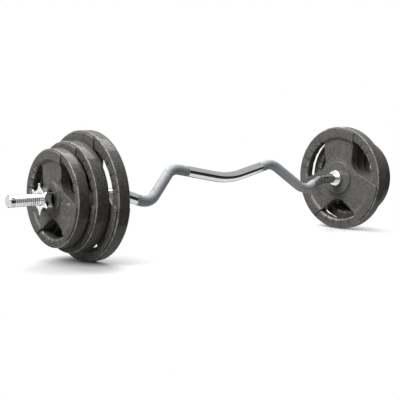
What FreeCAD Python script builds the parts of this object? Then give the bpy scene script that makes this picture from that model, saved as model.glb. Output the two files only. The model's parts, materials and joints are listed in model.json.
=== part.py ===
import FreeCAD, Part
import math
import os
import Sketcher

# Loaded curl bar: a bent bar along X, resting on its large plates, with the floor at Z = 0.

# Driving sizes in millimetres and degrees
SIZES = [
    ("bar_length", 1200.0, "tip to tip along X"),
    ("bar_diameter", 25.0, "solid round bar"),
    ("tip_land", 8.0, "plain land at each tip, where a nut starts on the thread"),
    ("tip_groove_width", 2.0, "run-out groove of the thread, behind the land"),
    ("tip_groove_depth", 1.2, "run-out groove of the thread, radial"),
    ("tip_chamfer", 1.5, "chamfer at each tip"),
    ("seat_span", 796.0, "between the two faces that the plates bear on"),
    ("collar_diameter", 42.0, "inner collar"),
    ("collar_width", 11.0, "inner collar, along the bar"),
    ("collar_chamfer", 1.5, "collar edges"),
    ("collar_clearance", 0.02, "collar bore over the bar, radial"),
    ("outer_run", 68.0, "from a seat face in to where the bar leaves its end axis"),
    ("low_pitch", 74.0, "from there in to the low corner of the W"),
    ("low_bend_drop", 28.5, "low corner below the end axis"),
    ("high_pitch", 90.5, "from the low corner in to the high corner of the W"),
    ("high_bend_rise", 52.5, "high corner above the end axis"),
    ("centre_rise", 17.7, "middle corner above the end axis"),
    ("outer_bend_radius", 45.0, "centre line radius"),
    ("low_bend_radius", 42.0, "centre line radius"),
    ("high_bend_radius", 42.0, "centre line radius"),
    ("centre_radius", 200.0, "long easy curve in the middle"),
    ("bend_lean_angle", 24.0, "lean of the bend plane away from -Y, degrees"),
    ("bore_clearance", 0.5, "plate and ring bores over the bar, radial"),
    ("pad_step", 3.5, "spokes stand above the hand grips, each face"),
    ("pad_ledge", 4.0, "spokes end short of the outer wall"),
    ("pad_corner", 6.0, "rounded outer corners of a spoke"),
    ("web_depth", 5.0, "sunk web between hub and outer band"),
    ("hub_slope", 4.0, "slope from the hub ring down to the web"),
    ("band_slope", 11.0, "slope from the web up to the outer band"),
    ("gap_half_angle", 53.0, "side of a finger gap from its middle line"),
    ("wall_chamfer", 2.5, "edges of the outer wall"),
    ("grip_chamfer", 5.0, "inner edges of the hand grips"),
    ("finger_depth", 1.6, "depth of a finger hollow"),
    ("finger_open", 0.3, "a finger cut starts this far off the grip, in the gap"),
    ("finger_ridge", 0.6, "between two finger cuts where they start"),
    ("finger_margin_angle", 1.2, "plain grip between the last hollow and the spoke, degrees"),
    ("large_diameter", 278.0, "large plate"),
    ("large_thickness", 35.0, "large plate over its spokes"),
    ("large_hub", 86.0, "hub ring diameter"),
    ("large_band", 23.0, "raised outer band of the spokes"),
    ("large_grip", 28.0, "radial width of the hand grips"),
    ("large_gap_inner", 58.0, "finger gap, nearest to the axis"),
    ("large_gap_radius", 37.0, "round root of the finger gap"),
    ("medium_diameter", 234.0, "medium plate"),
    ("medium_thickness", 38.0, "medium plate over its spokes"),
    ("medium_hub", 74.0, "hub ring diameter"),
    ("medium_band", 19.0, "raised outer band of the spokes"),
    ("medium_grip", 24.0, "radial width of the hand grips"),
    ("medium_gap_inner", 49.0, "finger gap, nearest to the axis"),
    ("medium_gap_radius", 31.5, "round root of the finger gap"),
    ("small_diameter", 206.0, "small plate"),
    ("small_thickness", 33.0, "small plate over its spokes"),
    ("small_hub", 66.0, "hub ring diameter"),
    ("small_band", 17.0, "raised outer band of the spokes"),
    ("small_grip", 21.0, "radial width of the hand grips"),
    ("small_gap_inner", 43.5, "finger gap, nearest to the axis"),
    ("small_gap_radius", 27.5, "round root of the finger gap"),
    ("ring_diameter", 38.0, "rubber ring"),
    ("ring_width", 9.0, "rubber ring, along the bar"),
    ("ring_chamfer", 1.0, "rubber ring edges"),
    ("star_diameter", 67.0, "star nut over its points"),
    ("star_width", 16.0, "star nut, along the bar"),
    ("star_valley_radius", 16.0, "hollow between two points"),
    ("star_valley_depth", 13.0, "hollow below the points"),
    ("thread_clearance", 0.06, "star nut bore over the bar, radial"),
]
SIDES = (("left", -1), ("right", 1))
PLATES = ("large", "medium", "small")
SPOKES = 3
FINGERS = 5
STAR_POINTS = 6
MARGIN = 5.0


class Size:
    """A length that knows both its number and the sheet formula that gives it."""

    def __init__(self, value, formula):
        self.value = value
        self.formula = formula

    def __add__(self, other):
        return joined(self, "+", other)

    def __sub__(self, other):
        return joined(self, "-", other)

    def __mul__(self, other):
        return joined(self, "*", other)

    def __truediv__(self, other):
        return joined(self, "/", other)

    def __rmul__(self, other):
        return joined(other, "*", self)

    def __neg__(self):
        return joined(-1, "*", self)


def as_size(item):
    if isinstance(item, Size):
        return item
    return Size(float(item), f"({float(item)})")


def joined(first, sign, second):
    a = as_size(first)
    b = as_size(second)
    results = {"+": a.value + b.value, "-": a.value - b.value, "*": a.value * b.value}
    value = a.value / b.value if sign == "/" else results[sign]
    return Size(value, f"({a.formula} {sign} {b.formula})")


def sine(angle):
    return Size(math.sin(math.radians(angle.value)), f"sin({angle.formula} * 1 deg)")


def cosine(angle):
    return Size(math.cos(math.radians(angle.value)), f"cos({angle.formula} * 1 deg)")


def arc_sine(ratio):
    return Size(math.degrees(math.asin(ratio.value)), f"(asin({ratio.formula}) / 1 deg)")


def square_root(square):
    return Size(math.sqrt(square.value), f"sqrt({square.formula})")


ZERO = as_size(0.0)

doc = FreeCAD.newDocument("ez_curl_bar")
sheet = doc.addObject("Spreadsheet::Sheet", "Sizes")
size = {}
for row, (alias, number, note) in enumerate(SIZES, start=1):
    sheet.set(f"A{row}", alias)
    sheet.set(f"B{row}", str(number))
    sheet.set(f"C{row}", note)
    sheet.setAlias(f"B{row}", alias)
    size[alias] = Size(number, f"Sizes.{alias}")
doc.recompute()

bar_radius = size["bar_diameter"] / 2
axis_height = size["large_diameter"] / 2


# Helpers for bodies and sketches
def new_body(name, x, lean=None):
    body = doc.addObject("PartDesign::Body", name)
    body.Label = name
    body.setExpression("Placement.Base.x", x.formula)
    body.setExpression("Placement.Base.z", axis_height.formula)
    if lean is not None:
        turn = FreeCAD.Rotation(FreeCAD.Vector(-1, 0, 0), lean.value)
        body.Placement = FreeCAD.Placement(FreeCAD.Vector(), turn)
        body.setExpression("Placement.Rotation.Angle", f"{lean.formula} * 1 deg")
    return body


def origin_part(body, role):
    return next(item for item in body.Origin.OriginFeatures if item.Role == role)


def new_sketch(body, name, role):
    sketch = body.newObject("Sketcher::SketchObject", name)
    sketch.AttachmentSupport = [(origin_part(body, role), "")]
    sketch.MapMode = "FlatFace"
    return sketch


def vector(x, y):
    return FreeCAD.Vector(x.value, y.value, 0)


def limit(sketch, kind, *place, value):
    number = sketch.addConstraint(Sketcher.Constraint(kind, *place, value.value))
    sketch.setExpression(f"Constraints[{number}]", value.formula)


def fix_point(sketch, curve, end, x, y):
    limit(sketch, "DistanceX", -1, 1, curve, end, value=x)
    limit(sketch, "DistanceY", -1, 1, curve, end, value=y)


def add_circle(sketch, x, y, radius):
    shape = Part.Circle(vector(x, y), FreeCAD.Vector(0, 0, 1), radius.value)
    curve = sketch.addGeometry(shape, False)
    fix_point(sketch, curve, 3, x, y)
    limit(sketch, "Radius", curve, value=radius)


def add_line(sketch, start, finish):
    line = sketch.addGeometry(Part.LineSegment(vector(*start), vector(*finish)), False)
    fix_point(sketch, line, 1, *start)
    fix_point(sketch, line, 2, *finish)
    return line


def add_polygon(sketch, corners):
    lines = []
    for start, finish in zip(corners, corners[1:] + corners[:1]):
        lines.append(sketch.addGeometry(Part.LineSegment(vector(*start), vector(*finish)), False))
    for line, following in zip(lines, lines[1:] + lines[:1]):
        sketch.addConstraint(Sketcher.Constraint("Coincident", line, 2, following, 1))
    for line, corner in zip(lines, corners):
        fix_point(sketch, line, 1, *corner)


def add_arc_between(sketch, first, second, centre, radius):
    """Joins the end of one line to the start of the next with an arc of under a half circle."""
    begin = sketch.getPoint(first, 2)
    finish = sketch.getPoint(second, 1)
    middle = (begin + finish) * 0.5 - vector(*centre)
    middle.normalize()
    crown = vector(*centre) + middle * radius.value
    arc = sketch.addGeometry(Part.Arc(begin, crown, finish), False)
    near = 1 if (sketch.getPoint(arc, 1) - begin).Length < 1e-4 else 2
    sketch.addConstraint(Sketcher.Constraint("Coincident", first, 2, arc, near))
    sketch.addConstraint(Sketcher.Constraint("Coincident", second, 1, arc, 3 - near))
    limit(sketch, "Radius", arc, value=radius)


def add_feature(body, kind, name, sketch=None, **settings):
    feature = body.newObject(f"PartDesign::{kind}", name)
    if sketch is not None:
        feature.Profile = sketch
        sketch.Visibility = False
    for key, setting in settings.items():
        if isinstance(setting, Size):
            feature.setExpression(key, setting.formula)
        else:
            setattr(feature, key, setting)
    body.Tip = feature
    return feature


def symmetric_pad(body, name, sketch, length):
    return add_feature(body, "Pad", name, sketch, SideType="Symmetric", Length=length)


def through_pocket(body, name, sketch):
    return add_feature(body, "Pocket", name, sketch, SideType="Symmetric", Type="ThroughAll")


def around_axis(body, name, original, count):
    axis = (origin_part(body, "X_Axis"), [""])
    settings = {"Originals": [original], "Axis": axis, "Angle": 360.0, "Occurrences": count}
    return add_feature(body, "PolarPattern", name, **settings)


def turned(body, kind, name, sketch):
    axis = (origin_part(body, "X_Axis"), [""])
    return add_feature(body, kind, name, sketch, ReferenceAxis=axis, Angle=360.0)


def dress_edges(body, kind, name, wanted, amount):
    doc.recompute()
    base = body.Tip
    edges = [f"Edge{i}" for i, edge in enumerate(base.Shape.Edges, start=1) if wanted(edge)]
    key = "Radius" if kind == "Fillet" else "Size"
    return add_feature(body, kind, name, Base=(base, edges), **{key: amount})


def on_faces(half):
    """Picks the edges that lie in either end face of a piece lying along X."""
    def wanted(edge):
        box = edge.BoundBox
        return box.XLength < 1e-4 and abs(abs(box.XMin) - half.value) < 1e-4
    return wanted


# Bar: one round bar swept along a W of straight runs and arcs, with a plain land at each tip
def bar():
    body = new_body("bar", ZERO, size["bend_lean_angle"])
    path = new_sketch(body, "bar_path", "XZ_Plane")
    outer_x = size["seat_span"] / 2 - size["outer_run"]
    low_x = outer_x - size["low_pitch"]
    high_x = low_x - size["high_pitch"]
    half = [
        (outer_x, ZERO, size["outer_bend_radius"]),
        (low_x, -size["low_bend_drop"], size["low_bend_radius"]),
        (high_x, size["high_bend_rise"], size["high_bend_radius"]),
    ]
    middle = [(ZERO, size["centre_rise"], size["centre_radius"])]
    bends = [(-x, z, radius) for x, z, radius in half] + middle + half[::-1]
    tip = size["bar_length"] / 2
    corners = [(-tip, ZERO)] + [(x, z) for x, z, radius in bends] + [(tip, ZERO)]
    radii = [radius for x, z, radius in bends]
    add_rounded_path(path, corners, radii)
    profile = new_sketch(body, "bar_section", "YZ_Plane")
    profile.AttachmentOffset = FreeCAD.Placement(FreeCAD.Vector(0, 0, -tip.value), FreeCAD.Rotation())
    profile.setExpression("AttachmentOffset.Base.z", (-tip).formula)
    add_circle(profile, ZERO, ZERO, bar_radius)
    add_feature(body, "AdditivePipe", "bar_sweep", profile, Spine=(path, []))
    path.Visibility = False
    lands = new_sketch(body, "bar_lands", "XZ_Plane")
    for sign in (-1, 1):
        outer = (tip - size["tip_land"]) * sign
        inner = outer - size["tip_groove_width"] * sign
        low = bar_radius - size["tip_groove_depth"]
        high = bar_radius + MARGIN
        add_polygon(lands, [(inner, low), (outer, low), (outer, high), (inner, high)])
    turned(body, "Groove", "bar_land_cut", lands)
    dress_edges(body, "Chamfer", "bar_tips", on_faces(tip), size["tip_chamfer"])


def add_rounded_path(sketch, corners, radii):
    """Draws straight runs between corners and rounds each corner with a tangent arc."""
    points = [vector(*corner) for corner in corners]
    starts = [points[0]]
    ends = []
    for before, corner, after, radius in zip(points, points[1:], points[2:], radii):
        to_before = (before - corner).normalize()
        to_after = (after - corner).normalize()
        cut = radius.value / math.tan(to_before.getAngle(to_after) / 2)
        ends.append(corner + to_before * cut)
        starts.append(corner + to_after * cut)
    ends.append(points[-1])
    lines = [sketch.addGeometry(Part.LineSegment(a, b), False) for a, b in zip(starts, ends)]
    fix_point(sketch, lines[0], 1, *corners[0])
    fix_point(sketch, lines[-1], 2, *corners[-1])
    for first, second, corner, point, radius in zip(lines, lines[1:], corners[1:], points[1:], radii):
        join_tangent(sketch, first, second, point, radius)
        mark = sketch.addGeometry(Part.Point(point), True)
        fix_point(sketch, mark, 1, *corner)
        sketch.addConstraint(Sketcher.Constraint("PointOnObject", mark, 1, first))
        sketch.addConstraint(Sketcher.Constraint("PointOnObject", mark, 1, second))


def join_tangent(sketch, first, second, corner, radius):
    begin = sketch.getPoint(first, 2)
    finish = sketch.getPoint(second, 1)
    inward = (begin + finish) * 0.5 - corner
    half_turn = (begin - corner).getAngle(inward)
    reach = radius.value / math.sin(half_turn) - radius.value
    crown = corner + inward.normalize() * reach
    arc = sketch.addGeometry(Part.Arc(begin, crown, finish), False)
    near = 1 if (sketch.getPoint(arc, 1) - begin).Length < 1e-4 else 2
    sketch.addConstraint(Sketcher.Constraint("Tangent", first, 2, arc, near))
    sketch.addConstraint(Sketcher.Constraint("Tangent", second, 1, arc, 3 - near))
    limit(sketch, "Radius", arc, value=radius)


# Rings: a bored disc along X with chamfered edges serves for the collars and the rubber rings
def bored_disc(name, x, diameter, width, clearance, chamfer):
    body = new_body(name, x)
    section = new_sketch(body, f"{name}_section", "YZ_Plane")
    add_circle(section, ZERO, ZERO, diameter / 2)
    add_circle(section, ZERO, ZERO, bar_radius + clearance)
    symmetric_pad(body, f"{name}_disc", section, width)
    dress_edges(body, "Chamfer", f"{name}_edges", outer_edges(width / 2, diameter / 2), chamfer)


def outer_edges(half, radius):
    """Picks the two rims of a disc and leaves its bore sharp."""
    flat = on_faces(half)

    def wanted(edge):
        return flat(edge) and abs(edge.BoundBox.YMax - radius.value) < 1e-3
    return wanted


# Plate: a spoked casting with three hand grips in its rim, alike on both faces
def plate(name, kind, x):
    body = new_body(name, x)
    radius = size[f"{kind}_diameter"] / 2
    half = size[f"{kind}_thickness"] / 2
    spoke_radius = radius - size["pad_ledge"]
    cut_gaps(body, name, kind, radius, spoke_radius)
    round_spokes(body, name, spoke_radius)
    sink_web(body, name, kind, half, spoke_radius)
    add_rim(body, name, kind, half, radius)
    hollow_grips(body, name, kind, radius)


def cut_gaps(body, name, kind, radius, spoke_radius):
    """Spoked blank: a bored disc with three round-rooted gaps, the first one at six o'clock."""
    disc = new_sketch(body, f"{name}_blank", "YZ_Plane")
    add_circle(disc, ZERO, ZERO, spoke_radius)
    add_circle(disc, ZERO, ZERO, bar_radius + size["bore_clearance"])
    symmetric_pad(body, f"{name}_disc", disc, size[f"{kind}_thickness"])
    root = size[f"{kind}_gap_radius"]
    centre = -(size[f"{kind}_gap_inner"] + root)
    across = cosine(size["gap_half_angle"])
    along = sine(size["gap_half_angle"])
    meet_y = root * across
    meet_z = centre + root * along
    outside = -(radius + MARGIN)
    mouth = meet_y + (meet_z - outside) * along / across
    gap = new_sketch(body, f"{name}_gap", "YZ_Plane")
    right = add_line(gap, (mouth, outside), (meet_y, meet_z))
    left = add_line(gap, (-meet_y, meet_z), (-mouth, outside))
    add_line(gap, (-mouth, outside), (mouth, outside))
    add_arc_between(gap, right, left, (ZERO, centre), root)
    pocket = through_pocket(body, f"{name}_gap_cut", gap)
    around_axis(body, f"{name}_gaps", pocket, SPOKES)


def round_spokes(body, name, spoke_radius):
    def outer_corner(edge):
        box = edge.BoundBox
        reach = math.hypot(box.YMin, box.ZMin)
        along = box.YLength < 1e-4 and box.ZLength < 1e-4
        return along and abs(reach - spoke_radius.value) < 1e-3
    dress_edges(body, "Fillet", f"{name}_corners", outer_corner, size["pad_corner"])


def sink_web(body, name, kind, half, spoke_radius):
    """Sinks a ring between the hub and the outer band into both faces."""
    hub = size[f"{kind}_hub"] / 2
    band = spoke_radius - size[f"{kind}_band"]
    sketch = new_sketch(body, f"{name}_web", "XZ_Plane")
    for side in (-1, 1):
        face = half * side
        floor = (half - size["web_depth"]) * side
        clear = (half + MARGIN) * side
        corners = [
            (clear, hub),
            (face, hub),
            (floor, hub + size["hub_slope"]),
            (floor, band - size["band_slope"]),
            (face, band),
            (clear, band),
        ]
        add_polygon(sketch, corners)
    turned(body, "Groove", f"{name}_web_cut", sketch)


def add_rim(body, name, kind, half, radius):
    """Turns the rim, which is the outer wall and, across the gaps, the hand grips."""
    reach = half - size["pad_step"]
    inner = radius - size[f"{kind}_grip"]
    wall = size["wall_chamfer"]
    grip = size["grip_chamfer"]
    front = [
        (reach - wall, radius),
        (reach, radius - wall),
        (reach, inner + grip),
        (reach - grip, inner),
    ]
    back = [(-x, height) for x, height in front[::-1]]
    rim = new_sketch(body, f"{name}_rim", "XZ_Plane")
    add_polygon(rim, front + back)
    turned(body, "Revolution", f"{name}_rim_ring", rim)


def hollow_grips(body, name, kind, radius):
    """Cuts finger hollows side by side, each an arc on a chord, into the inner side of each grip."""
    inner = radius - size[f"{kind}_grip"]
    root = size[f"{kind}_gap_radius"]
    centre = size[f"{kind}_gap_inner"] + root
    to_side = centre * sine(size["gap_half_angle"]) - root
    half_gap = size["gap_half_angle"] - arc_sine(to_side / inner)
    pitch = (half_gap - size["finger_margin_angle"]) * (2 / FINGERS)
    edge = inner - size["finger_open"]
    side = edge * sine(pitch / 2) - size["finger_ridge"] / 2
    chord = square_root(edge * edge - side * side)
    depth = inner + size["finger_depth"] - chord
    finger = (side * side + depth * depth) / (2 * depth)
    reach = chord + depth - finger
    sketch = new_sketch(body, f"{name}_fingers", "YZ_Plane")
    for number in range(FINGERS):
        angle = pitch * (number - (FINGERS - 1) / 2)
        start = below_axis(chord, -side, angle)
        finish = below_axis(chord, side, angle)
        line = add_line(sketch, start, finish)
        add_arc_between(sketch, line, line, below_axis(reach, ZERO, angle), finger)
    pocket = through_pocket(body, f"{name}_finger_cut", sketch)
    around_axis(body, f"{name}_finger_cuts", pocket, SPOKES)


def below_axis(down, across, angle):
    """Gives a point of the YZ plane by its place along a ray that hangs from the axis."""
    y = down * sine(angle) + across * cosine(angle)
    z = across * sine(angle) - down * cosine(angle)
    return y, z


# Star nut: a threaded disc with hollows between its points, one point up
def star_nut(name, x):
    body = new_body(name, x)
    radius = size["star_diameter"] / 2
    section = new_sketch(body, f"{name}_section", "YZ_Plane")
    add_circle(section, ZERO, ZERO, radius)
    add_circle(section, ZERO, ZERO, bar_radius + size["thread_clearance"])
    symmetric_pad(body, f"{name}_disc", section, size["star_width"])
    hollow = size["star_valley_radius"]
    valley = new_sketch(body, f"{name}_valley", "YZ_Plane")
    add_circle(valley, radius - size["star_valley_depth"] + hollow, ZERO, hollow)
    pocket = through_pocket(body, f"{name}_valley_cut", valley)
    around_axis(body, f"{name}_valleys", pocket, STAR_POINTS)


# Assembly: each side stacks collar, plates, rubber ring and star nut outward from the seat
def build_side(side, sign):
    seat = size["seat_span"] / 2
    collar_x = (seat - size["collar_width"] / 2) * sign
    bored_disc(f"{side}_collar", collar_x, size["collar_diameter"], size["collar_width"],
               size["collar_clearance"], size["collar_chamfer"])
    face = seat
    for kind in PLATES:
        thickness = size[f"{kind}_thickness"]
        plate(f"{side}_{kind}_plate", kind, (face + thickness / 2) * sign)
        face = face + thickness
    ring_x = (face + size["ring_width"] / 2) * sign
    bored_disc(f"{side}_rubber_ring", ring_x, size["ring_diameter"], size["ring_width"],
               size["bore_clearance"], size["ring_chamfer"])
    face = face + size["ring_width"]
    star_nut(f"{side}_star_nut", (face + size["star_width"] / 2) * sign)


bar()
for side, sign in SIDES:
    build_side(side, sign)
doc.recompute()

# Checks and STEP files
for item in doc.Objects:
    if "Invalid" in item.State or "Error" in item.State:
        raise RuntimeError(f"{item.Name} did not build: {item.State}")

os.makedirs("parts", exist_ok=True)
for body in doc.findObjects("PartDesign::Body"):
    shape = body.Shape
    if shape.isNull() or not shape.isValid() or len(shape.Solids) != 1:
        raise RuntimeError(f"{body.Label} is not one valid solid")
    shape.exportStep(f"parts/{body.Label}.step")
    box = shape.BoundBox
    print(f"{body.Label}: {shape.Volume / 1000:.1f} cm3, X {box.XMin:.1f} to {box.XMax:.1f}, "
          f"Z {box.ZMin:.1f} to {box.ZMax:.1f}")
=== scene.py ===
# %% [markdown]
# # A loaded curl bar
# A bent steel bar carries three cast-iron plates on each side, held by a rubber ring and a
# star-shaped nut.
# The CAD solids have every size and joint already, so they are loaded first as a fixed frame.
# Each step below then makes one piece again as a finer mesh with a real surface, in the place of
# its solid.

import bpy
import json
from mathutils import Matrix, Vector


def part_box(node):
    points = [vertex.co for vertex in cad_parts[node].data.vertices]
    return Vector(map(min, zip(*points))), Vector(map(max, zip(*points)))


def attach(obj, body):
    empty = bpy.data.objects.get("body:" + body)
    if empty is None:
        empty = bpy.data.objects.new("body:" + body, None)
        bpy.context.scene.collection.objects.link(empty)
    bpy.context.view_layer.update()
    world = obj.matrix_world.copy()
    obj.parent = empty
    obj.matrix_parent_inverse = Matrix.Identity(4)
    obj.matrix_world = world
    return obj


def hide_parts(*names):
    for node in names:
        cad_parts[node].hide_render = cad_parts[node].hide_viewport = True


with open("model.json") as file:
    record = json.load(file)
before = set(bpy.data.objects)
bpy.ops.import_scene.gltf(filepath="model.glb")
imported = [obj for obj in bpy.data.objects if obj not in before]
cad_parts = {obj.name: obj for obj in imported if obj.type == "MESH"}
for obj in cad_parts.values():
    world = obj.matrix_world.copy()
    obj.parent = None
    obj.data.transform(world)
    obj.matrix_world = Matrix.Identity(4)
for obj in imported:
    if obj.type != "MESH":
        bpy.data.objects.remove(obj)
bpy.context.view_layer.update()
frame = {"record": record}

# %% Shared sizes
import json
import math

import bmesh
import bpy
import numpy as np
from mathutils import Vector

MM = 0.001
SIDES = ("left", "right")

neck = next(mount for mount in frame["record"]["mounts"] if mount["name"] == "left_neck")
bar_radius = neck["dims"]["r_mm"] * MM
axis_height = neck["pos_m"][2]
tip_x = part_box("bar")[1].x
print(f"bar {2 * bar_radius / MM:.1f} mm thick and {2 * tip_x:.3f} m long")
print(f"its axis is {axis_height:.3f} m above the floor")

# %% [markdown]
# ## Shader maths in plain Python
# A Cycles finish is a graph of nodes, and sums in it need one Math node each.
# Wiring those by hand hides what is meant, so a small class wraps an output socket and lets
# `1 - mask * 2` add the nodes.
# Every other node comes from one method that takes its type, its settings and what goes into its
# sockets.

# %% Sockets that can be added and multiplied
class Wire:
    """A node's output; arithmetic on it adds Math nodes to the same graph."""

    def __init__(self, graph, socket):
        self.graph = graph
        self.socket = socket

    def math(self, operation, *inputs):
        return self.graph.node("ShaderNodeMath", {"operation": operation}, dict(enumerate(inputs)))

    def __add__(self, other):
        return self.math("ADD", self, other)

    def __sub__(self, other):
        return self.math("SUBTRACT", self, other)

    def __rsub__(self, other):
        return self.math("SUBTRACT", other, self)

    def __mul__(self, other):
        return self.math("MULTIPLY", self, other)

    def __pow__(self, other):
        return self.math("POWER", self, other)

    def __abs__(self):
        return self.math("ABSOLUTE", self)

    __radd__ = __add__
    __rmul__ = __mul__

    def sine(self):
        return self.math("SINE", self)

    def at_least(self, other):
        return self.math("MAXIMUM", self, other)

    def at_most(self, other):
        return self.math("MINIMUM", self, other)

    def ramp(self, low, high):
        """0 below low, 1 above high and straight between them."""
        sockets = {"Value": self, "From Min": low, "From Max": high}
        return self.graph.node("ShaderNodeMapRange", {"clamp": True}, sockets)


# %% A graph of nodes
class Graph:
    """The node graph of one material or of the world."""

    def __init__(self, owner):
        owner.use_nodes = True
        self.tree = owner.node_tree
        self.tree.nodes.clear()

    def node(self, kind, settings=None, sockets=None, output=0):
        made = self.tree.nodes.new(kind)
        for name, setting in (settings or {}).items():
            setattr(made, name, setting)
        for name, given in (sockets or {}).items():
            if isinstance(given, Wire):
                self.tree.links.new(given.socket, made.inputs[name])
            else:
                made.inputs[name].default_value = given
        return Wire(self, made.outputs[output])

    def blend(self, share, first, second):
        """Goes from one colour to another."""
        sockets = {"Factor": share, 6: first, 7: second}
        return self.node("ShaderNodeMix", {"data_type": "RGBA"}, sockets, output=2)

    def place(self):
        """The point on the piece in metres, as CAD has it."""
        return self.node("ShaderNodeTexCoord", output="Object")

    def part(self, vector, axis):
        """One of the three numbers of a vector."""
        return self.node("ShaderNodeSeparateXYZ", {}, {"Vector": vector}, axis)

    def attribute(self, name):
        """A number that the mesh carries on its points."""
        return self.node("ShaderNodeAttribute", {"attribute_name": name}, output="Fac")

    def noise(self, place, grain, detail=2.0, output=0):
        """Cloudy noise whose blobs are about `grain` metres wide."""
        sockets = {"Vector": place, "Scale": 1 / grain, "Detail": detail}
        return self.node("ShaderNodeTexNoise", {}, sockets, output)

    def bump(self, height, depth):
        sockets = {"Height": height, "Distance": depth, "Strength": 1.0}
        return self.node("ShaderNodeBump", {}, sockets)

    def surface(self, shader, end="ShaderNodeOutputMaterial"):
        self.tree.links.new(shader.socket, self.tree.nodes.new(end).inputs["Surface"])

    def principled(self, sockets):
        """Ends the graph in the shader that all pieces of the object have."""
        self.surface(self.node("ShaderNodeBsdfPrincipled", {}, sockets))


def grey(level, warmth=0.0):
    """A colour of that linear level, a little warmer or cooler than neutral."""
    return (level * (1 + warmth), level, level * (1 - warmth), 1.0)


# %% [markdown]
# ## Hammered enamel on the plates
# The castings are painted with a dark warm-grey hammer finish: the paint draws itself into little
# dimpled cells with metal flakes in it. Along the edges it is painted lighter, as rubbed paint and
# as a painted highlight.
# A photograph of paint would repeat and stretch, so the cells come from a smooth Voronoi pattern,
# bent by noise.
# The edges come from a value that the mesh code leaves on each point, because only that code knows
# where an edge is. It is below zero in creases, which the paint shows darker as painted shade.

# %% Hammered enamel
MARK_ATTRIBUTE = "edge_wear"
CELL_WIDTH = 2.8 * MM
DRIFT_WIDTH, DRIFT = 6 * MM, 2 * MM
CLOUD_WIDTH, FLAKE_WIDTH = 12 * MM, 2.0 * MM
DIMPLE_DEPTH = 0.45 * MM
PAINT_DARK, PAINT_LIGHT, PAINT_RUBBED_AND_HIGHLIT = 0.013, 0.120, 0.30
# The colour of the painted shade in the creases.
CREASE_SHADE = 0.008


def enamel_tone(level):
    """The enamel's grey: a little red, and short of blue."""
    return (level * 1.045, level, level * 0.92, 1.0)


def hammered_enamel():
    material = bpy.data.materials.new("hammered_enamel")
    paint = Graph(material)
    place = paint.place()
    drift = paint.noise(place, DRIFT_WIDTH, output="Color")
    moved = {0: drift, 1: (DRIFT,) * 3, 2: place}
    bent = paint.node("ShaderNodeVectorMath", {"operation": "MULTIPLY_ADD"}, moved)
    net = {"Vector": bent, "Scale": 1 / CELL_WIDTH, "Smoothness": 0.5}
    cells = paint.node("ShaderNodeTexVoronoi", {"feature": "SMOOTH_F1"}, net)
    clouds = paint.noise(place, CLOUD_WIDTH)
    flakes = paint.noise(place, FLAKE_WIDTH)
    tone = (cells * 0.4 + clouds * 0.2 + flakes * 0.7).ramp(0.40, 0.90)
    fresh = paint.blend(tone, enamel_tone(PAINT_DARK), enamel_tone(PAINT_LIGHT))
    marks = paint.attribute(MARK_ATTRIBUTE)
    # Creases, where the mark is below zero, are painted darker: a painted shade.
    crease_shaded = paint.blend((0 - marks).ramp(0.0, 1.0) * 0.8, fresh, grey(CREASE_SHADE))
    # Rounded edges are painted lighter: rubbed paint, and partly a painted highlight.
    rubbed_and_highlit = marks.at_least(0.0) ** 3 * (0.3 + 0.7 * clouds.ramp(0.4, 0.6))
    paint.principled({
        "Base Color": paint.blend(rubbed_and_highlit * 0.8, crease_shaded, enamel_tone(PAINT_RUBBED_AND_HIGHLIT)),
        "Roughness": 0.42 + 0.2 * cells,
        "Normal": paint.bump(cells * 0.7 + flakes * 0.4, DIMPLE_DEPTH),
        "Metallic": 0.06,
        "Specular IOR Level": 0.12,
        "Coat Weight": 0.22,
        "Coat Roughness": 0.06,
    })
    return material


enamel = hammered_enamel()
print("made", enamel.name)

# %% [markdown]
# ## A mesh from grids of points
# The pieces with a bore are all closed like a tyre: a section runs once round, and the piece runs
# round the bar.
# Points in rows and columns therefore give the whole skin, and no boolean cut has to be cleaned up
# afterwards.
# The same grid also carries a mark on each point, so that paint and shape agree: high on edges, for
# wear and a painted highlight, and below zero in creases, for painted shade.

# %% Grids to mesh
SAME_POINT = 0.002 * MM
SLIVER = 0.001 * MM
SHARP_ANGLE = math.radians(38)


def weld(mesh):
    """Merges points that fell together, turns all faces outward and shades round edges smoothly."""
    work = bmesh.new()
    work.from_mesh(mesh)
    bmesh.ops.remove_doubles(work, verts=work.verts, dist=SAME_POINT)
    bmesh.ops.dissolve_degenerate(work, edges=work.edges, dist=SLIVER)
    bmesh.ops.recalc_face_normals(work, faces=work.faces)
    work.to_mesh(mesh)
    work.free()
    mesh.shade_smooth()
    mesh.set_sharp_from_angle(angle=SHARP_ANGLE)


def grid_faces(rows, columns, close_rows):
    index = np.arange(rows * columns).reshape(rows, columns)
    beside = np.roll(index, -1, axis=1)
    below, across = np.roll(index, -1, axis=0), np.roll(beside, -1, axis=0)
    quads = np.stack([index, beside, across, below], axis=-1)
    return quads.reshape(-1, 4) if close_rows else quads[:-1].reshape(-1, 4)


def make_mesh(name, grids, close_rows=True, **further):
    """Joins grids, each of points (rows, columns, 3) and marks (rows, columns), in one mesh."""
    points, faces, marks = [], [], []
    start = 0
    for spots, marked in grids:
        rows, columns = spots.shape[:2]
        points.append(spots.reshape(-1, 3))
        marks.append(np.broadcast_to(marked, (rows, columns)).reshape(-1))
        faces.append(grid_faces(rows, columns, close_rows) + start)
        start += rows * columns
    mesh = bpy.data.meshes.new(name)
    mesh.from_pydata(np.concatenate(points).tolist(), [], np.concatenate(faces).tolist())
    for key, values in {MARK_ATTRIBUTE: np.concatenate(marks), **further}.items():
        layer = mesh.attributes.new(key, "FLOAT", "POINT")
        layer.data.foreach_set("value", values.astype(np.float32).reshape(-1))
    weld(mesh)
    return mesh


# %% Pieces that ride on the frame
def put(name, content):
    """Adds an object with that mesh, lamp or camera to the scene."""
    thing = bpy.data.objects.new(name, content)
    bpy.context.scene.collection.objects.link(thing)
    return thing


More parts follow.
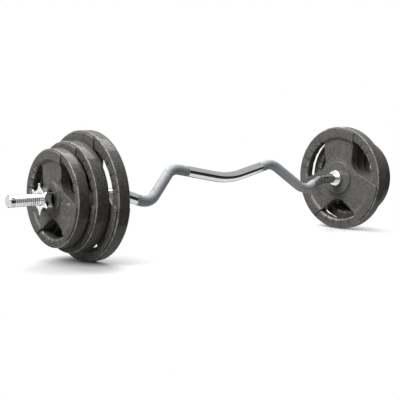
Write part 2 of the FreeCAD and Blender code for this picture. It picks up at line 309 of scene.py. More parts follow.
def add_piece(name, mesh, material, body, node=None):
    """Adds a visible piece that moves with a body and may take the place of a solid."""
    piece = put(name, mesh)
    mesh.materials.append(material)
    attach(piece, body)
    if node:
        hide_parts(node)
    print(f"{name}: {len(mesh.polygons)} faces on {body}")
    return piece


def measure(node):
    """The radius of a round solid, its width along the bar and where its middle is."""
    low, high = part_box(node)
    return (high.z - low.z) / 2, high.x - low.x, (low.x + high.x) / 2


# %% [markdown]
# ## The outline of a plate's spokes
# Seen along the bar, a plate is a hub with three spokes, and between them three gaps for the
# fingers.
# Half of one gap is four stretches: the round root, a straight side, a small corner arc and the
# outer arc.
# Complex numbers suit this, because turning a point is one multiplication and mirroring it is one
# call.

# %% Half a gap
GAP_SIDE = math.radians(53)
PAD_CORNER = 6 * MM
SPOKES = 3
FORM = {
    "large": {"hub": 43, "band": 23, "grip": 28, "gap_inner": 58, "gap_root": 37},
    "medium": {"hub": 37, "band": 19, "grip": 24, "gap_inner": 49, "gap_root": 31.5},
    "small": {"hub": 33, "band": 17, "grip": 21, "gap_inner": 43.5, "gap_root": 27.5},
}


def arc(centre, radius, start, finish, spacing):
    """Points of an arc with their directions from its centre."""
    count = max(3, math.ceil(radius * abs(finish - start) / spacing))
    out = np.exp(1j * np.linspace(start, finish, count))
    return centre + radius * out, out


def half_gap(form, spoke_radius, spacing):
    """From the middle of a gap's root to that of a spoke; the real axis runs along the gap."""
    root = form["gap_root"] * MM
    centre = form["gap_inner"] * MM + root
    along = np.exp(1j * GAP_SIDE)
    square = 1j * along
    root_points, root_out = arc(centre, root, math.pi, math.pi / 2 + GAP_SIDE, spacing)
    off_axis = root + PAD_CORNER - centre * math.sin(GAP_SIDE)
    reach = math.sqrt((spoke_radius - PAD_CORNER) ** 2 - off_axis ** 2)
    corner = off_axis * square + reach * along
    bend = np.angle(corner)
    corner_points, corner_out = arc(corner, PAD_CORNER, GAP_SIDE - math.pi / 2, bend, spacing / 2)
    steps = math.ceil(abs(corner_points[0] - root_points[-1]) / spacing)
    side_points = np.linspace(root_points[-1], corner_points[0], steps + 1)[1:-1]
    side_out = np.full(len(side_points), -square)
    rim_points, rim_out = arc(0, spoke_radius, bend, math.pi / SPOKES, spacing)
    points = np.concatenate([root_points, side_points, corner_points, rim_points[1:]])
    outward = np.concatenate([-root_out, side_out, corner_out, rim_out[1:]])
    return points, outward


# %% Mirrored, and turned three times
def spoke_outline(form, spoke_radius, spacing=3 * MM):
    """The closed outline in the plane y + iz, with one gap straight down."""
    turns = [-1j * np.exp(2j * math.pi * number / SPOKES) for number in range(SPOKES)]

    def all_round(half):
        whole = np.concatenate([half.conj()[:0:-1], half])[:-1]
        return np.concatenate([whole * turn for turn in turns])

    points, outward = half_gap(form, spoke_radius, spacing)
    return all_round(points), all_round(outward)


# %% [markdown]
# ## The skin of a casting
# From the bore, rows of points run out over the front face to a rounded edge, and back over the
# rear face.
# The face may rise and fall with the radius, which gives the hub ring and the sunk web their soft
# slopes.
# The same routine later makes the star nut, whose outline differs but whose skin runs the same way.

# %% Rows from the bore to the edge
EDGE_ROWS = 5
# Marks for the rounded edges at the bore and round the outline: worn paint, and also a painted
# highlight.
BORE_WEAR_AND_HIGHLIGHT, EDGE_WEAR_AND_HIGHLIGHT = 0.4, 0.7


def plane_to_space(plane, x):
    """Puts points y + iz at their place along the bar."""
    along = np.broadcast_to(x, plane.shape)
    return np.stack([along, plane.real, plane.imag + axis_height], axis=-1)


def skin(outline, outward, bore, bore_round, face_radii, height, edge_round, middle_x):
    """A closed grid over both faces of a piece with that outline."""
    brink = outline - outward * edge_round
    reach = np.abs(brink)
    ray = brink / reach
    rows = [(ray * bore, height(bore) - bore_round, 0.0)]
    rows.append((ray * (bore + bore_round), height(bore), BORE_WEAR_AND_HIGHLIGHT))
    for radius in face_radii:
        clipped = np.minimum(radius, reach)
        rows.append((ray * clipped, height(clipped), 0.0))
    for turn in np.linspace(0, math.pi / 2, EDGE_ROWS):
        rounded = brink + outward * edge_round * math.sin(turn)
        lowered = height(reach) - edge_round * (1 - math.cos(turn))
        rows.append((rounded, lowered, EDGE_WEAR_AND_HIGHLIGHT * math.sin(2 * turn)))
    front = [plane_to_space(plane, middle_x + x) for plane, x, marked in rows]
    back = [plane_to_space(plane, middle_x - x) for plane, x, marked in rows[::-1]]
    marked = np.array([marked for plane, x, marked in rows])
    return np.stack(front + back), np.concatenate([marked, marked[::-1]])[:, None]


# %% [markdown]
# ## The rim and its hand grips
# The rim is turned round the bar: a wall outside, and where the gaps are, a bar to hold inside.
# Five shallow hollows side by side on the inner side of each grip keep the fingers apart. Where two
# of them meet is a ridge, and a crease runs from it over the face of the grip.
# A lathe shape would be round all the way, so the inner points are pushed out by a formula for
# those hollows.

# %% A rounded section
FLAT_ROWS = 4


def rounded_section(width, inner, outer, inner_round, outer_round, steps=6):
    """A rectangle x + ir and the mark on each point, high on its corners: there the enamel shows wear
    and a painted highlight.

    Its corners are quarters of ellipses, each given by its reach along x and along r.
    """
    half = width / 2
    corners = [(half, outer, outer_round), (-half, outer, outer_round)]
    corners += [(-half, inner, inner_round), (half, inner, inner_round)]
    points, marked = [], []
    for number, (x, radius, (bend_x, bend_r)) in enumerate(corners):
        turn = np.linspace(0, math.pi / 2, steps) + number * math.pi / 2
        across, up = np.cos(turn), np.sin(turn)
        to_x, to_r = np.sign(across[steps // 2]), np.sign(up[steps // 2])
        points.append(x + bend_x * (across - to_x) + 1j * (radius + bend_r * (up - to_r)))
        marked.append(np.abs(np.sin(2 * turn)))
    for number in range(len(corners)):
        start, finish = points[number][-1], points[(number + 1) % len(corners)][0]
        flat = np.linspace(start, finish, FLAT_ROWS + 2)[1:-1]
        points[number] = np.concatenate([points[number], flat])
        marked[number] = np.concatenate([marked[number], np.zeros(FLAT_ROWS)])
    return np.concatenate(points), np.concatenate(marked)


# %% Finger hollows
FINGERS = 5
FINGER_DEPTH = 1.6 * MM
FINGER_OPEN = 0.3 * MM
FINGER_RIDGE = 0.6 * MM
FINGER_MARGIN = math.radians(1.2)
CREASE_WIDTH = 5 * MM


def finger_hollows(form, inner):
    """Makes a function of the angle round the bar, for a grip with that inner radius.

    It tells how far the inner side gives way there, and how near two hollows meet.
    """
    root = form["gap_root"] * MM
    to_side = (form["gap_inner"] * MM + root) * math.sin(GAP_SIDE) - root
    pitch = (GAP_SIDE - math.asin(to_side / inner) - FINGER_MARGIN) * 2 / FINGERS
    edge = inner - FINGER_OPEN
    side = edge * math.sin(pitch / 2) - FINGER_RIDGE / 2
    chord = math.sqrt(edge ** 2 - side ** 2)
    depth = inner + FINGER_DEPTH - chord
    finger = (side ** 2 + depth ** 2) / (2 * depth)
    centre = chord + depth - finger
    last = FINGERS - 1

    def hollows(angle):
        sector = 2 * math.pi / SPOKES
        from_gap = np.mod(angle + math.pi / 2 + sector / 2, sector) - sector / 2
        number = np.clip(np.round(from_gap / pitch + last / 2), 0, last)
        off = from_gap - (number - last / 2) * pitch
        under = np.maximum(finger ** 2 - (centre * np.sin(off)) ** 2, 0)
        push = np.maximum(centre * np.cos(off) + np.sqrt(under) - inner, 0)
        from_ridge = (pitch / 2 - np.abs(off)) * inner
        between = np.abs(from_gap) < last * pitch / 2
        crease = np.clip(1 - np.abs(from_ridge) / (CREASE_WIDTH / 2), 0, 1) * between
        return push, crease
    return hollows


# %% Turned round the bar
CREASE_DEPTH = 1.2 * MM
CREASE_GAIN, CREASE_START = 3, 0.7


def turned(section, marked, middle_x, columns, hollows=None):
    """Turns a section round the bar, with hollows in its inner side where they are given."""
    angle = np.linspace(0, 2 * math.pi, columns, endpoint=False)
    radius = np.repeat(section.imag[:, None], columns, axis=1)
    x = np.repeat(section.real[:, None], columns, axis=1)
    marked = np.repeat(marked[:, None], columns, axis=1)
    if hollows is not None:
        push, crease = hollows(angle)
        inside = (section.imag.max() - section.imag) / np.ptp(section.imag)
        radius = radius + inside[:, None] * push[None, :]
        grown = np.clip(inside * CREASE_GAIN - CREASE_START, 0, 1)
        creased = grown[:, None] * crease[None, :]
        x = x - np.sign(x) * CREASE_DEPTH * creased
        # The creases take a mark below zero, which the enamel paints darker as painted shade.
        marked = marked * (1 - creased) - creased
    plane = radius * np.exp(1j * angle)[None, :]
    return plane_to_space(plane, middle_x + x), marked


# %% [markdown]
# ## Six plates
# A plate is one casting, alike on both faces: the hub ring stands up, the web is sunk, and the ends
# of the spokes rise to a raised band again before they step down to the rim.
# The slopes are eased at both ends, as sand casting leaves them, so light rolls over them without a
# hard line.

# %% Heights over a plate's face
PAD_LEDGE, PAD_STEP = 4 * MM, 3.5 * MM
WEB_DEPTH, WEB_ROWS = 5 * MM, 6
HUB_SLOPE, HUB_FLAT, HUB_ROWS = 4 * MM, 2 * MM, 6
BAND_SLOPE, BAND_FLAT, BAND_ROWS = 10 * MM, 3 * MM, 9
EDGE_ROUND = 1.6 * MM
BORE_GAP, BORE_ROUND = 0.5 * MM, 1 * MM
GRIP_ROUND, RIM_ROUND = (8 * MM, 8 * MM), (2.5 * MM, 3.5 * MM)
RIM_STEPS, RIM_COLUMNS = 8, 720


def eased(low, high, radius):
    share = np.clip((radius - low) / (high - low), 0, 1)
    return share * share * (3 - 2 * share)


def plate_grids(form, radius, thickness, middle_x):
    """The grids of one plate: its hub with the spokes, and its rim."""
    spoke_radius = radius - PAD_LEDGE
    hub = form["hub"] * MM
    band = spoke_radius - form["band"] * MM

    def height(r):
        sunk = eased(hub, hub + HUB_SLOPE, r) - eased(band - BAND_SLOPE, band, r)
        return thickness / 2 - WEB_DEPTH * sunk

    hub_slope = np.linspace(hub, hub + HUB_SLOPE, HUB_ROWS)
    web = np.linspace(hub + HUB_SLOPE, band - BAND_SLOPE, WEB_ROWS)[1:-1]
    band_slope = np.linspace(band - BAND_SLOPE, band, BAND_ROWS)
    face = [hub - HUB_FLAT, *hub_slope, *web, *band_slope, band + BAND_FLAT, spoke_radius]
    outline, outward = spoke_outline(form, spoke_radius)
    bore = bar_radius + BORE_GAP
    spokes = skin(outline, outward, bore, BORE_ROUND, face, height, EDGE_ROUND, middle_x)
    inner = radius - form["grip"] * MM
    width = thickness - 2 * PAD_STEP
    section, marked = rounded_section(width, inner, radius, GRIP_ROUND, RIM_ROUND, RIM_STEPS)
    rim = turned(section, marked, middle_x, RIM_COLUMNS, finger_hollows(form, inner))
    return [spokes, rim]


# %% The six castings
plates = {f"{side}_{kind}_plate": kind for side in SIDES for kind in FORM}
for node, kind in plates.items():
    casting = make_mesh(node, plate_grids(FORM[kind], *measure(node)))
    add_piece(f"{node}_casting", casting, enamel, node, node)

# %% [markdown]
# ## Plain numbers on the plates
# Each plate tells its weight in kilograms in raised figures, cast with it on the sunk web of one
# spoke and on both faces.
# The figures stand with their tops toward the hub, so they read as the plate is turned.
# Blender's own letters give the shapes; they are set on the web point by point, so no object has to
# be turned.

# %% Raised figures
WEIGHTS = {"large": "10", "medium": "7.5", "small": "5"}
FIGURE_RISE, FIGURE_BEVEL = 1.4 * MM, 0.3 * MM
FIGURE_SIZE, FIGURE_PLACE = 0.19, 0.57
SPOKE_SLOPE = math.pi / 6


def figure_shape(text, height):
    """Corner points of a line of raised figures, about its middle, and their faces."""
    letters = bpy.data.curves.new("figures", "FONT")
    letters.body = text
    letters.size = height
    letters.align_x = "CENTER"
    letters.align_y = "CENTER"
    letters.extrude = FIGURE_RISE - FIGURE_BEVEL
    letters.bevel_depth = FIGURE_BEVEL
    letters.resolution_u = 6
    holder = put("figures", letters)
    solid = holder.evaluated_get(bpy.context.evaluated_depsgraph_get())
    shape = bpy.data.meshes.new_from_object(solid)
    points = np.array([list(vertex.co) for vertex in shape.vertices])
    faces = [list(face.vertices) for face in shape.polygons]
    bpy.data.objects.remove(holder)
    return points, faces


def number_mesh(name, text, radius, web_height, middle_x):
    """The figures on both faces of a plate; their size and place are shares of its radius."""
    points, faces = figure_shape(text, FIGURE_SIZE * radius)
    spots, corners = [], []
    for way in (-1, 1):
        normal = np.array([way, 0.0, 0.0])
        outward = np.array([0.0, -way * math.cos(SPOKE_SLOPE), -math.sin(SPOKE_SLOPE)])
        right = np.cross(-outward, normal)
        spoke = np.array([middle_x, 0.0, axis_height]) + outward * (FIGURE_PLACE * radius)
        base = spoke + normal * web_height
        corners += [[corner + len(points) * len(spots) for corner in face] for face in faces]
        spots.append(base + points @ np.stack([right, -outward, normal]))
    mesh = bpy.data.meshes.new(name)
    mesh.from_pydata(np.concatenate(spots).tolist(), [], corners)
    weld(mesh)
    return mesh


for node, kind in plates.items():
    radius, width, middle_x = measure(node)
    name = f"{node}_number"
    figures = number_mesh(name, WEIGHTS[kind], radius, width / 2 - WEB_DEPTH, middle_x)
    add_piece(name, figures, enamel, node)

# %% [markdown]
# ## Bright and worked steel
# The collars and nuts are bright chrome, smooth but never quite perfect: faint swirls of polishing
# change the gloss.
# The bar has a duller chrome, with knurled stretches where the hands go, cut as two crossing sets of
# fine grooves.
# Grooves that fine belong in a bump pattern, so the bar carries a map of turns round it and of
# length along it.

# %% Chrome
SWIRL_WIDTH, SPECK_WIDTH, HAZE_WIDTH = 9 * MM, 1.2 * MM, 25 * MM
RIPPLE_WIDTH, RIPPLE_DEPTH = 6 * MM, 0.004 * MM


def polish(steel, place):
    """Roughness of a polished and handled chrome."""
    swirls = steel.noise(place, SWIRL_WIDTH, 4.0)
    specks = steel.noise(place, SPECK_WIDTH)
    return 0.03 + 0.05 * swirls.ramp(0.35, 0.75) + 0.03 * specks


def bright_chrome():
    material = bpy.data.materials.new("bright_chrome")
    steel = Graph(material)
    place = steel.place()
    haze = steel.noise(place, HAZE_WIDTH)
    steel.principled({
        "Base Color": steel.blend(haze, grey(0.80, -0.02), grey(0.90, -0.01)),
        "Metallic": 1.0,
        "Roughness": polish(steel, place),
        "Normal": steel.bump(steel.noise(place, RIPPLE_WIDTH), RIPPLE_DEPTH),
    })
    return material


chrome = bright_chrome()
print("made", chrome.name)

# %% Knurled bar
KNURL_STARTS, KNURL_ENDS, KNURL_FADE = 120 * MM, 290 * MM, 3 * MM
KNURL_LINES = 60
KNURL_DEPTH = 0.10 * MM
KNURL_ROUGHNESS = 0.75
BAR_MAP = "round_and_along"


def bar_steel():
    material = bpy.data.materials.new("bar_steel")
    steel = Graph(material)
    place = steel.place()
    from_middle = abs(steel.part(place, "X"))
    begun = from_middle.ramp(KNURL_STARTS, KNURL_STARTS + KNURL_FADE)
    knurled = begun - from_middle.ramp(KNURL_ENDS, KNURL_ENDS + KNURL_FADE)
    spread = steel.node("ShaderNodeUVMap", {"uv_map": BAR_MAP})
    around, along = steel.part(spread, "X"), steel.part(spread, "Y")
    turn = math.pi * KNURL_LINES
    rising = abs(((around + along) * turn).sine())
    diamonds = rising.at_most(abs(((around - along) * turn).sine()))
    haze = steel.noise(place, HAZE_WIDTH)
    smooth = steel.blend(haze, grey(0.62, -0.03), grey(0.72, -0.02))
    # The knurl is painted darker along its grooves than on its diamonds: a painted shade.
    worked = steel.blend(diamonds, grey(0.22, -0.04), grey(0.48, -0.03))
    outside = steel.blend(knurled, smooth, worked)
    crest = steel.attribute(MARK_ATTRIBUTE)
    steel.principled({
        "Base Color": steel.blend(crest, grey(0.85), outside),
        "Metallic": 1.0,
        "Roughness": polish(steel, place) + KNURL_ROUGHNESS * knurled,
        "Normal": steel.bump(knurled * diamonds, KNURL_DEPTH),
    })
    return material


bar_finish = bar_steel()
print("made", bar_finish.name)

# %% [markdown]
# ## The bent bar
# The bar is one rod, straight at the ends and bent to a W between them; the W leans back a little.
# Its middle line is the same chain of straight runs and arcs as in CAD, given by corners and bend
# radii.
# A curve with a bevel would make a plain tube, but a sweep in code can also cut the threads of the
# ends.

# %% Middle line of the bar
LEAN = math.radians(24)
CORNERS = [(330, 0, 45), (256, -28.5, 42), (165.5, 52.5, 42), (0, 17.7, 200)]


def middle_line():
    """Stretches of the bar as (start, direction, turn, length), in the plane x + i up.

    The turn is an angle per metre, and 0 in a straight stretch.
    """
    half = [(complex(-x, up) * MM, bend * MM) for x, up, bend in CORNERS]
    bends = half + [(complex(-corner.real, corner.imag), bend) for corner, bend in half[-2::-1]]
    corners = [complex(-tip_x, 0)] + [corner for corner, bend in bends] + [complex(tip_x, 0)]
    stretches = []
    here = corners[0]
    for before, corner, after, (place, bend) in zip(corners, corners[1:], corners[2:], bends):
        into = (corner - before) / abs(corner - before)
        out = (after - corner) / abs(after - corner)
        angle = np.angle(out / into)
        cut = bend * math.tan(abs(angle) / 2)
        start = corner - into * cut
        stretches.append((here, into, 0.0, abs(start - here)))
        stretches.append((start, into, math.copysign(1 / bend, angle), bend * abs(angle)))
        here = corner + out * cut
    stretches.append((here, out, 0.0, abs(corners[-1] - here)))
    return stretches


def along_bar(stretches, lengths):
    """Points and directions of the middle line at those lengths from the left tip."""
    points = np.zeros(len(lengths), complex)
    ways = np.zeros(len(lengths), complex)
    start = 0.0
    for begin, way, turn, length in stretches:
        here = lengths >= start - 1e-9
        run = lengths[here] - start
        bent = np.exp(1j * (turn * run))
        ways[here] = way * bent
        points[here] = begin + (way * (bent - 1) / (1j * turn) if turn else way * run)
        start += length
    return points, ways


stretches = middle_line()
bar_run = sum(length for begin, way, turn, length in stretches)
print(f"the bent bar takes {bar_run:.3f} m of rod")

# %% Threads
THREAD_PITCH, THREAD_DEPTH = 4.5 * MM, 1.0 * MM
THREAD_HALF, THREAD_FLANK = 0.21, 0.17
THREAD_RUN, THREAD_FADE = 150 * MM, 4 * MM
TIP_LAND, TIP_CHAMFER = 8 * MM, 1.5 * MM
GROOVE_DEPTH, GROOVE_WALL = 1.2 * MM, 0.4 * MM
GROOVE_END = TIP_LAND + 2 * MM


def thread_cut(from_tip, x, angle):
    """How deep the thread is cut, 0 to 1; its half width and flank are shares of a pitch."""
    turn = np.mod(x / THREAD_PITCH - angle / (2 * math.pi), 1.0)
    groove = np.clip((THREAD_HALF - np.abs(turn - 0.5)) / THREAD_FLANK, 0, 1)
    begins = eased(GROOVE_END - 0.5 * MM, GROOVE_END + 1.5 * MM, from_tip)
    return groove * begins * (1 - eased(THREAD_RUN - THREAD_FADE, THREAD_RUN, from_tip))


# %% Rings of points along the bar
ROWS_PER_TURN = 14
PLAIN_STEP = 4 * MM
END_RINGS = {0: 0.0, 1: 0.6, -2: 0.6, -1: 0.0}


def bar_stations():
    """Lengths along the bar where a ring of points goes: close together only in the threads.

    Three rings lie at each tip, because END_RINGS shrinks two of them to fill the end's face.
    """
    walls = [TIP_LAND, TIP_LAND + GROOVE_WALL, GROOVE_END - GROOVE_WALL, GROOVE_END]
    thread = np.arange(GROOVE_END + GROOVE_WALL, THREAD_RUN, THREAD_PITCH / ROWS_PER_TURN)
    end = np.concatenate([[0, 0, 0, TIP_CHAMFER], walls, thread])
    middle = np.arange(THREAD_RUN, bar_run - THREAD_RUN, PLAIN_STEP)
    return np.concatenate([end, middle, (bar_run - end)[::-1]])


# %% The bar's skin
ROUND = 56


def bar_mesh():
    lengths = bar_stations()
    points, ways = along_bar(stretches, lengths)
    from_tip = np.minimum(lengths, bar_run - lengths)
    angle = np.linspace(0, 2 * math.pi, ROUND, endpoint=False)
    cut = thread_cut(from_tip[:, None], points.real[:, None], angle[None, :])
    in_groove = np.minimum(from_tip - TIP_LAND, GROOVE_END - from_tip) > GROOVE_WALL / 2
    turned_off = GROOVE_DEPTH * in_groove + np.maximum(TIP_CHAMFER - from_tip, 0)
    radius = bar_radius - turned_off[:, None] - THREAD_DEPTH * cut
    for row, share in END_RINGS.items():
        radius[row] *= share
    up = np.array([0, math.sin(LEAN), math.cos(LEAN)])
    side = np.array([0, -math.cos(LEAN), math.sin(LEAN)])
    ahead = np.array([1.0, 0, 0])
    across = -ways.imag[:, None] * ahead + ways.real[:, None] * up
    middle = points.real[:, None] * ahead + points.imag[:, None] * up
    middle = middle + np.array([0, 0, axis_height])
    ring = np.cos(angle)[None, :, None] * side - np.sin(angle)[None, :, None] * across[:, None, :]
    around = np.broadcast_to(angle / (2 * math.pi), cut.shape)
    along = np.broadcast_to(lengths[:, None] / (2 * math.pi * bar_radius), cut.shape)
    grid = (middle[:, None, :] + radius[..., None] * ring, 1 - cut)
    return make_mesh("bar", [grid], close_rows=False, around=around, along=along)


bar = add_piece("bent_bar", bar_mesh(), bar_finish, "bar", "bar")


# %% The bar's map
def unroll(mesh):
    """Writes the map of turns round the bar and length along it, whole in faces on the seam."""
    corners = np.zeros(len(mesh.loops), np.int32)
    mesh.loops.foreach_get("vertex_index", corners)
    values = {key: np.zeros(len(mesh.vertices), np.float32) for key in ("around", "along")}
    for key, read in values.items():
        mesh.attributes[key].data.foreach_get("value", read)
    around, along = (values[key][corners] for key in ("around", "along"))
    starts = np.zeros(len(mesh.polygons), np.int32)
    mesh.polygons.foreach_get("loop_start", starts)
    spread = np.maximum.reduceat(around, starts) - np.minimum.reduceat(around, starts)
    counts = np.diff(np.append(starts, len(corners)))
    around = around + (np.repeat(spread > 0.5, counts) & (around < 0.5))
    layer = mesh.uv_layers.new(name=BAR_MAP)
    layer.data.foreach_set("uv", np.stack([around, along], axis=-1).reshape(-1))


unroll(bar.data)
print("unrolled", bar.name)

# %% [markdown]
# ## Collars, rubber rings and star nuts
# A fixed collar stops the plates from sliding inward; a rubber ring and a star nut on the thread
# press them against it.
# The collars and rings are turned sections with rounded corners.
# The nut is a disc with six round hollows between its points, so its outline is a minimum of two
# circles.

# %% Collars
RING_COLUMNS = 96
COLLAR_INNER, COLLAR_OUTER = (0.3 * MM,) * 2, (1.5 * MM,) * 2


def ring_mesh(node, bore, inner_round, outer_round):
    radius, width, middle_x = measure(node)
    section, marked = rounded_section(width, bore, radius, inner_round, outer_round)
    return make_mesh(node, [turned(section, marked, middle_x, RING_COLUMNS)])


for side in SIDES:
    node = f"{side}_collar"
    collar = ring_mesh(node, bar_radius, COLLAR_INNER, COLLAR_OUTER)
    add_piece(f"{node}_ring", collar, chrome, "bar", node)

# %% Rubber
BLOOM_WIDTH = 6 * MM
PORE_WIDTH, PORE_DEPTH = 0.8 * MM, 0.1 * MM
WASHER_INNER, WASHER_OUTER = (1 * MM,) * 2, (3 * MM,) * 2


def matt_rubber():
    material = bpy.data.materials.new("matt_rubber")
    rubber = Graph(material)
    place = rubber.place()
    bloom = rubber.noise(place, BLOOM_WIDTH, 4.0)
    rubber.principled({
        "Base Color": rubber.blend(bloom, grey(0.004), grey(0.010, -0.03)),
        "Roughness": 0.6 + 0.25 * bloom,
        "Normal": rubber.bump(rubber.noise(place, PORE_WIDTH), PORE_DEPTH),
        "Specular IOR Level": 0.15,
    })
    return material


rubber = matt_rubber()
for side in SIDES:
    node = f"{side}_rubber_ring"
    washer = ring_mesh(node, bar_radius + BORE_GAP, WASHER_INNER, WASHER_OUTER)
    add_piece(f"{node}_washer", washer, rubber, node, node)

# %% Star nuts
STAR_POINTS = 6
STAR_COLUMNS = STAR_POINTS * 32
VALLEY_RADIUS, VALLEY_DEPTH = 16 * MM, 13 * MM
STAR_ROUND = 0.7 * MM
NUT_GAP, NUT_BORE_ROUND = 0.06 * MM, 1.2 * MM
PAST_EDGE = 1.0
STAR_FACE = (16 * MM, 19 * MM, PAST_EDGE)


def star_outline(radius):
    """Points up, in the plane y + iz, with their outward directions."""
    angle = np.linspace(0, 2 * math.pi, STAR_COLUMNS, endpoint=False)
    sector = 2 * math.pi / STAR_POINTS
    off = np.mod(angle - math.pi / 2, sector) - sector / 2
    centre = radius - VALLEY_DEPTH + VALLEY_RADIUS
    under = np.maximum(VALLEY_RADIUS ** 2 - (centre * np.sin(off)) ** 2, 0)
    points = np.minimum(radius, centre * np.cos(off) - np.sqrt(under)) * np.exp(1j * angle)
    way = np.roll(points, -1) - np.roll(points, 1)
    return points, -1j * way / np.abs(way)


def star_mesh(node):
    radius, width, middle_x = measure(node)
    outline, outward = star_outline(radius)

    def height(r):
        return width / 2 + 0 * r

    bore = bar_radius + NUT_GAP
    grid = skin(outline, outward, bore, NUT_BORE_ROUND, STAR_FACE, height, STAR_ROUND, middle_x)
    return make_mesh(node, [grid])


for side in SIDES:
    node = f"{side}_star_nut"
    add_piece(f"{node}_star", star_mesh(node), chrome, node, node)

# %% [markdown]
# ## A white studio
# The bar lies on a white floor in a white room. The room looks white to the camera and light grey in
# the chrome, while little of that light falls on the paint, so that colours stay as they were mixed.
# The floor shows its shadows in a patch under each stack of plates and turns to plain white around
# them, soonest to the right of a stack, as in the photograph.
# A broad lamp overhead gives the soft shadows, and one from the left lights the faces of the plates.
# A weak one from the right lifts their dark walls, and the chrome doesn't show it.

# %% World
ROOM_ON_MATT, ROOM_IN_CHROME = 0.08, 0.60


def seen_directly(graph):
    """1 for what the camera sees, straight or in a mirror, and 0 for light on matt surfaces."""
    rays = ("Is Camera Ray", "Is Glossy Ray", "Is Transmission Ray")
    camera, glossy, through = (graph.node("ShaderNodeLightPath", output=ray) for ray in rays)
    return camera.at_least(glossy).at_least(through)


world = bpy.data.worlds.new("white_room")
bpy.context.scene.world = world
room = Graph(world)
unseen = room.blend(seen_directly(room), grey(ROOM_ON_MATT), grey(ROOM_IN_CHROME))
shade = room.blend(room.node("ShaderNodeLightPath", output="Is Camera Ray"), unseen, grey(1.0))
light = room.node("ShaderNodeBackground", {}, {"Color": shade, "Strength": 1.0})
room.surface(light, "ShaderNodeOutputWorld")
print("made", world.name)

# %% Floor
FLOOR_HALF = 30
PAPER_SEEN, PAPER_ON_MATT = 0.54, 0.22
FLOOR_LIFT = 0.01
FLOOR_NEAR, FLOOR_FAR = 0.12, 0.42
TAIL_CUT = 2.0
LEFT_STACK = {"middle": (-0.52, -0.04, 0.0), "end": -0.40, "paler": 0.0}
RIGHT_STACK = {"middle": (0.38, 0.02, 0.0), "end": 0.40, "paler": 0.08}


def from_stack(paper, place, stack):
    """How far a point is from a stack's patch, counted up faster to the right of its end."""
    ends = {0: place, 1: stack["middle"]}
    away = paper.node("ShaderNodeVectorMath", {"operation": "DISTANCE"}, ends, "Value")
    past = (paper.part(place, "X") - stack["end"]).at_least(0.0)
    return away + TAIL_CUT * past + stack["paler"]


def white_floor():
    material = bpy.data.materials.new("white_floor")
    paper = Graph(material)
    place = paper.place()
    direct = seen_directly(paper)
    nearest = from_stack(paper, place, LEFT_STACK).at_most(from_stack(paper, place, RIGHT_STACK))
    far = nearest.ramp(FLOOR_NEAR, FLOOR_FAR)
    colour = paper.blend(direct, grey(PAPER_ON_MATT), grey(PAPER_SEEN))
    lift = paper.blend(direct, grey(0.0), grey(FLOOR_LIFT))
    matt = paper.node("ShaderNodeBsdfDiffuse", {}, {"Color": colour})
    glow = paper.node("ShaderNodeEmission", {}, {"Color": lift})
    near_paper = paper.node("ShaderNodeAddShader", {}, {0: matt, 1: glow})
    far_paper = paper.node("ShaderNodeEmission", {}, {"Color": grey(1.0)})
    mixed = {0: far * direct, 1: near_paper, 2: far_paper}
    paper.surface(paper.node("ShaderNodeMixShader", {}, mixed))
    return material


def add_sheet(name, points, faces, material):
    """Adds a thing of the studio, which is no piece of the object."""
    mesh = bpy.data.meshes.new(name)
    mesh.from_pydata(points, [], faces)
    mesh.materials.append(material)
    sheet = put(name, mesh)
    print(f"{name}: {len(mesh.polygons)} faces in the studio")
    return sheet


floor_corners = [(x * FLOOR_HALF, y * FLOOR_HALF, 0) for x, y in ((-1, -1), (1, -1), (1, 1), (-1, 1))]
add_sheet("floor", floor_corners, [(0, 1, 2, 3)], white_floor())

# %% Lamps
BAR_MIDDLE = (0, 0, 0.14)
OVERHEAD, UNDER_LAMP = (0.1, 1.0, 2.8), (0.1, 1.0, 0.0)
SOFT, SOFTER = math.radians(40), math.radians(60)


def add_lamp(name, kind, place, aim, **settings):
    lamp = bpy.data.lights.new(name, kind)
    for key, value in settings.items():
        setattr(lamp, key, value)
    holder = put(name, lamp)
    holder.location = place
    holder.rotation_euler = (Vector(aim) - Vector(place)).to_track_quat("-Z", "Y").to_euler()
    print(f"lamp {name} at {place}")
    return holder


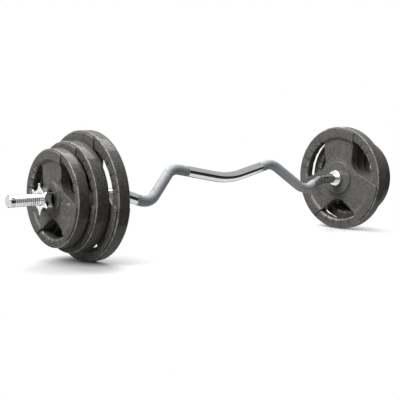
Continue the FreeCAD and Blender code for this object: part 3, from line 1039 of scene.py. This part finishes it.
panel = {"energy": 170, "shape": "RECTANGLE", "size": 3.0, "size_y": 2.4}
add_lamp("overhead", "AREA", OVERHEAD, UNDER_LAMP, **panel)
add_lamp("from_left", "SUN", (-3.0, -0.1, 2.75), BAR_MIDDLE, energy=4.5, angle=SOFT)
fill = add_lamp("from_right", "SUN", (3.0, 0.4, 1.8), BAR_MIDDLE, energy=1.2, angle=SOFTER)
fill.visible_glossy = False

# %% [markdown]
# ## Something dark for the chrome to show
# Chrome in an all-white room loses its shape, so photographers place something dark where it should
# show.
# Here a black cloth lies in front of the bar and hangs up at its far end, and a strip of it lies
# behind the bar. Only mirrors see it, and it gives the chrome its dark stripe: neither the camera
# nor any shadow shows it.

# %% Dark cloth
CLOTH_LEFT, CLOTH_RIGHT = -0.8, 6
BLACK = 0.02
FOLDS = [(-0.19, 0.001), (-4.0, 0.001), (-4.0, 1.6), (0.5, 0.001), (0.1, 0.001)]
SHEETS = [(0, 5, 6, 1), (1, 6, 7, 2), (3, 8, 9, 4)]

cloth_black = bpy.data.materials.new("dark_cloth")
weave = Graph(cloth_black)
weave.surface(weave.node("ShaderNodeBsdfDiffuse", {}, {"Color": grey(BLACK)}))
hems = [(x, y, z) for x in (CLOTH_LEFT, CLOTH_RIGHT) for y, z in FOLDS]
cloth = add_sheet("dark_cloth", hems, SHEETS, cloth_black)
for ray in ("camera", "diffuse", "shadow", "transmission"):
    setattr(cloth, f"visible_{ray}", False)

# %% [markdown]
# ## The photographer's place
# The camera stands low in front of the left end and looks along the bar, so the left plates are
# large and the right ones small.
# Its place and lens were found by fitting the bar's bends and the plates' rims to the photograph.

# %% Camera
camera = bpy.data.cameras.new("camera")
camera.sensor_width = 36.0
camera.sensor_fit = "HORIZONTAL"
camera.lens = 77.85
viewer = put("camera", camera)
viewer.location = (-1.4292, -1.5338, 0.3075)
yaw, pitch = math.radians(49.01), math.radians(-5.55)
viewer.rotation_euler = (math.pi / 2 + pitch, 0, yaw - math.pi / 2)
bpy.context.scene.camera = viewer
bpy.context.scene.view_settings.view_transform = "Standard"
print(f"camera with a {camera.lens:.1f} mm lens")
